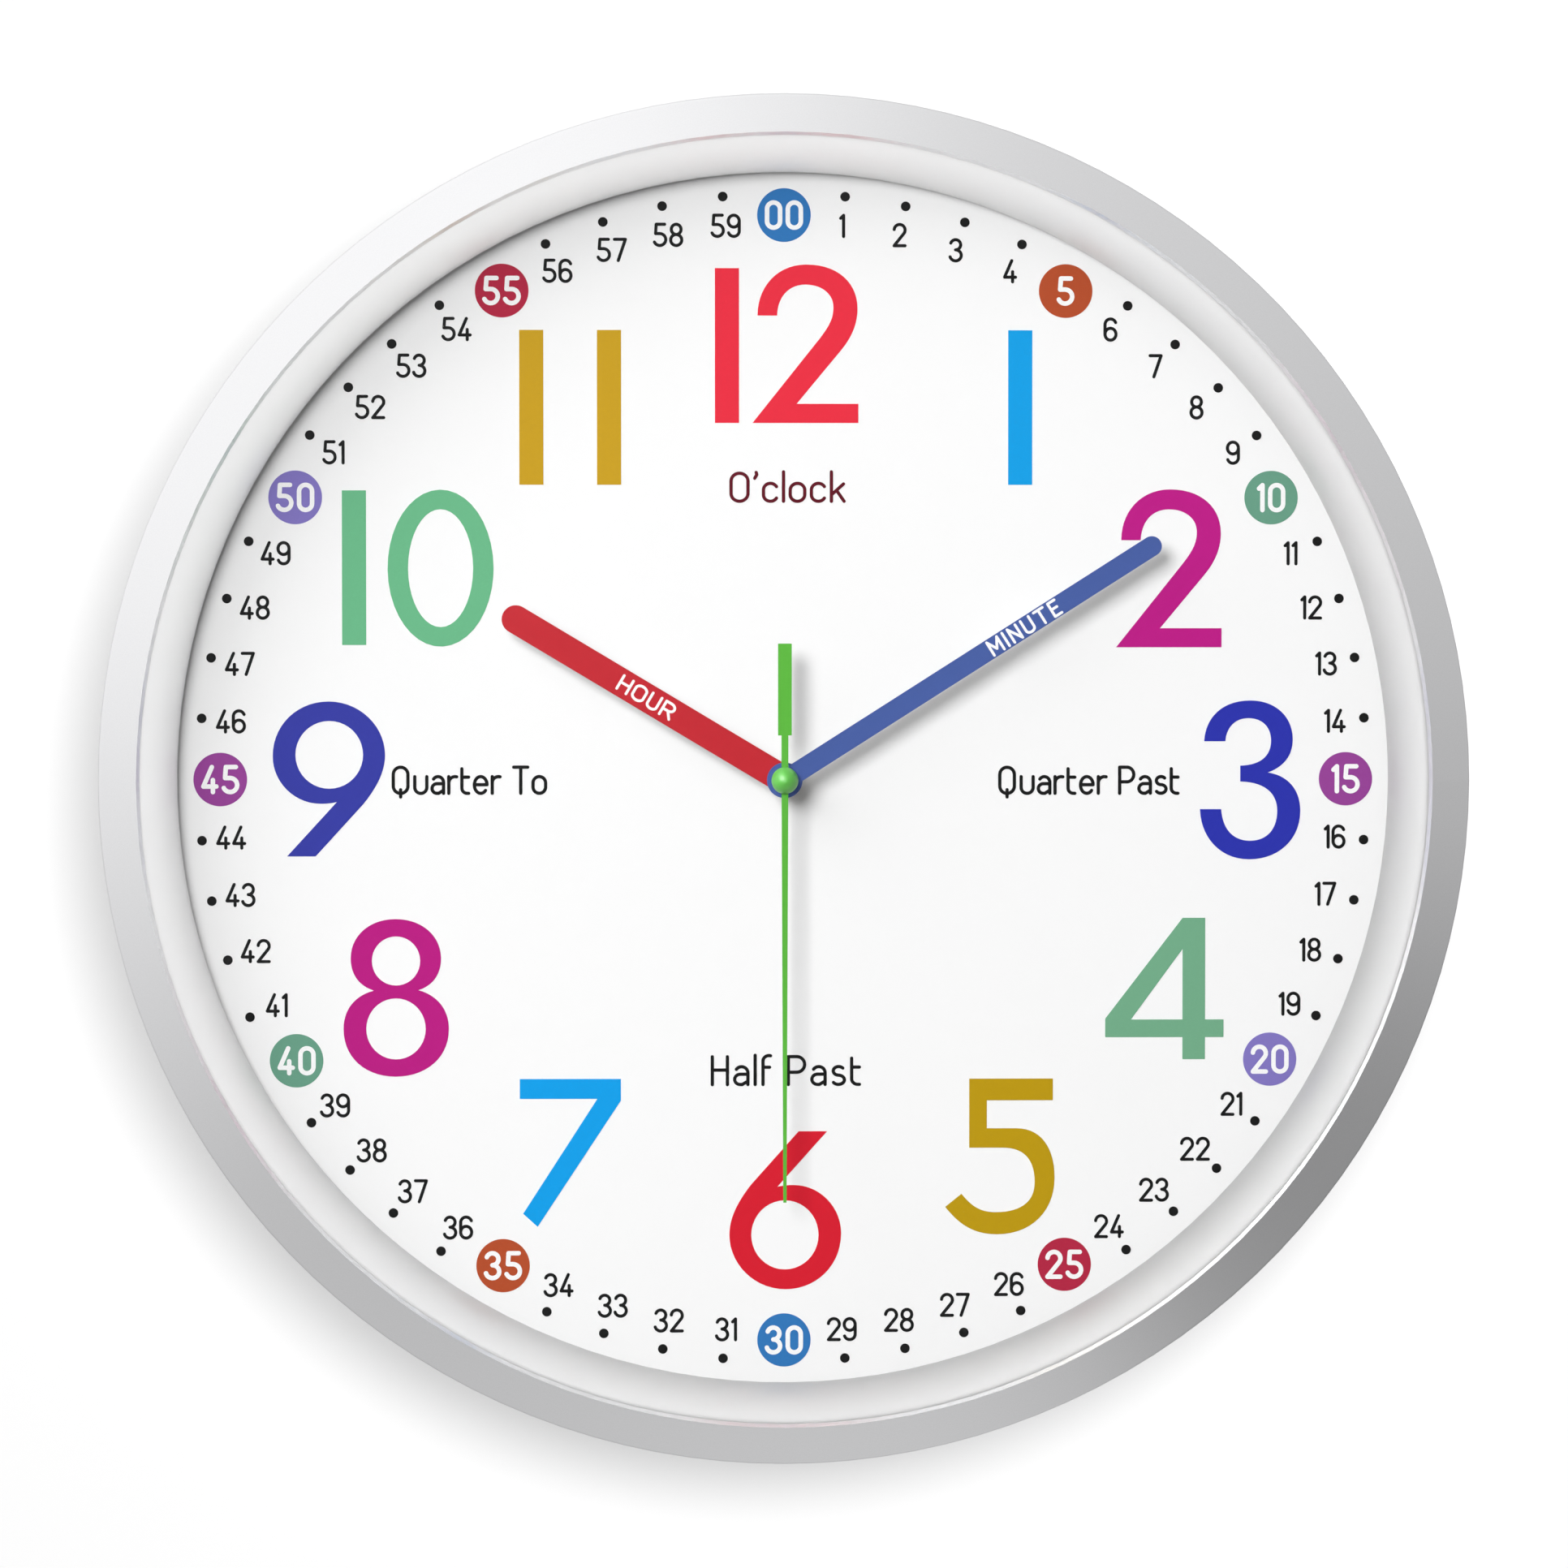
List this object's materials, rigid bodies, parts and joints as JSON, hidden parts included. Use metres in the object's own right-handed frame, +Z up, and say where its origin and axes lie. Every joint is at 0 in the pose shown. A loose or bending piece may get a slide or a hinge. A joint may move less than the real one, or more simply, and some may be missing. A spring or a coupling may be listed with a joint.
{
  "type": "teaching wall clock",
  "caption": "Round teaching wall clock with a silver bezel, flat glass, printed dial, coloured hands and a battery quartz movement on its open back, hung by a keyhole.",
  "frame": {"origin": "the hands' axis where it meets the wall plane, which is the bezel's rear edge", "axes": "+Z up the dial, +X to the right of someone facing the dial, +Y from the dial back into the wall"},
  "size_m": [0.3, 0.045, 0.3],
  "materials": {
    "bezel_silver": "silver satin paint",
    "glass": "clear, polished",
    "ring_white": "white satin",
    "dial_white": "white printed face",
    "plate_plastic": "moulded, light grey",
    "screw_steel": "zinc plated",
    "hanger_steel": "zinc plated",
    "movement_black": "moulded black",
    "train_plastic": "natural moulded",
    "brass": "turned",
    "rubber": "matt",
    "arbor_steel": "bright",
    "magnet": "sintered",
    "core_steel": "bright",
    "copper": "enamelled copper wire",
    "board": "green lacquer",
    "chip": "black resin",
    "contact_steel": "nickel plated",
    "knob_red": "moulded red",
    "battery_wrap": "printed wrapper",
    "hand_red": "red paint",
    "hand_blue": "blue paint",
    "hand_green": "green, glossy"
  },
  "bodies": {
    "case": {"bezel": "bezel_silver", "glass": "glass", "inner_ring": "ring_white", "dial": "dial_white", "back_plate": "plate_plastic", "case_screws": "screw_steel", "hanger_plate": "hanger_steel", "hanger_screws": "screw_steel", "movement_base": "movement_black", "movement_lid": "movement_black", "train_plate": "train_plastic", "center_bush": "brass", "rubber_washer": "rubber", "bush_washer": "brass", "bush_nut": "brass", "stator": "core_steel", "coil_core": "core_steel", "coil_bobbin": "train_plastic", "coil_winding": "copper", "circuit_board": "board", "chip_cover": "chip", "quartz_crystal": "core_steel", "positive_contact": "contact_steel", "negative_contact": "contact_steel"},
    "seconds": {"second_wheel": "train_plastic", "second_arbor": "arbor_steel", "second_hand": "hand_green", "second_hand_hub": "hand_green"},
    "minutes": {"minute_cannon": "train_plastic", "minute_hand": "hand_blue"},
    "hours": {"hour_wheel": "train_plastic", "hour_hand": "hand_red"},
    "motion_work": {"motion_wheel": "train_plastic", "setting_knob": "knob_red"},
    "minute_drive": {"minute_drive_wheel": "train_plastic"},
    "third": {"third_wheel": "train_plastic"},
    "step": {"step_wheel": "train_plastic"},
    "rotor": {"rotor_magnet": "magnet", "rotor_pinion": "train_plastic"},
    "battery_cell": {"battery": "battery_wrap"}
  },
  "joints": [
    {"name": "second_hand_turn", "type": "hinge", "parent": "case", "child": "seconds", "pos_m": [0, 0, 0], "axis": [0, 1, 0], "continuous": true},
    {"name": "minute_hand_turn", "type": "hinge", "parent": "case", "child": "minutes", "pos_m": [0, 0, 0], "axis": [0, 1, 0], "continuous": true},
    {"name": "hour_hand_turn", "type": "hinge", "parent": "case", "child": "hours", "pos_m": [0, 0, 0], "axis": [0, 1, 0], "continuous": true},
    {"name": "motion_work_turn", "type": "hinge", "parent": "case", "child": "motion_work", "pos_m": [0.01128, 0, 0.0041], "axis": [0, 1, 0], "continuous": true},
    {"name": "minute_drive_turn", "type": "hinge", "parent": "case", "child": "minute_drive", "pos_m": [0, 0, 0], "axis": [0, 1, 0], "continuous": true},
    {"name": "third_wheel_turn", "type": "hinge", "parent": "case", "child": "third", "pos_m": [-0.00996, 0, 0.00363], "axis": [0, 1, 0], "continuous": true},
    {"name": "step_wheel_turn", "type": "hinge", "parent": "case", "child": "step", "pos_m": [0, 0, 0.0108], "axis": [0, 1, 0], "continuous": true},
    {"name": "rotor_turn", "type": "hinge", "parent": "case", "child": "rotor", "pos_m": [-0.00287, 0, 0.01869], "axis": [0, 1, 0], "continuous": true},
    {"name": "battery_slide", "type": "slide", "parent": "case", "child": "battery_cell", "axis": [0, 1, 0], "range_m": [0, 0.03]}
  ],
  "couplings": [
    {"joint": "step_wheel_turn", "follows": "second_hand_turn", "ratio": -5},
    {"joint": "rotor_turn", "follows": "second_hand_turn", "ratio": 30},
    {"joint": "third_wheel_turn", "follows": "second_hand_turn", "ratio": -0.13333},
    {"joint": "minute_drive_turn", "follows": "second_hand_turn", "ratio": 0.016667},
    {"joint": "motion_work_turn", "follows": "minute_hand_turn", "ratio": -0.33333},
    {"joint": "hour_hand_turn", "follows": "minute_hand_turn", "ratio": 0.083333}
  ]
}
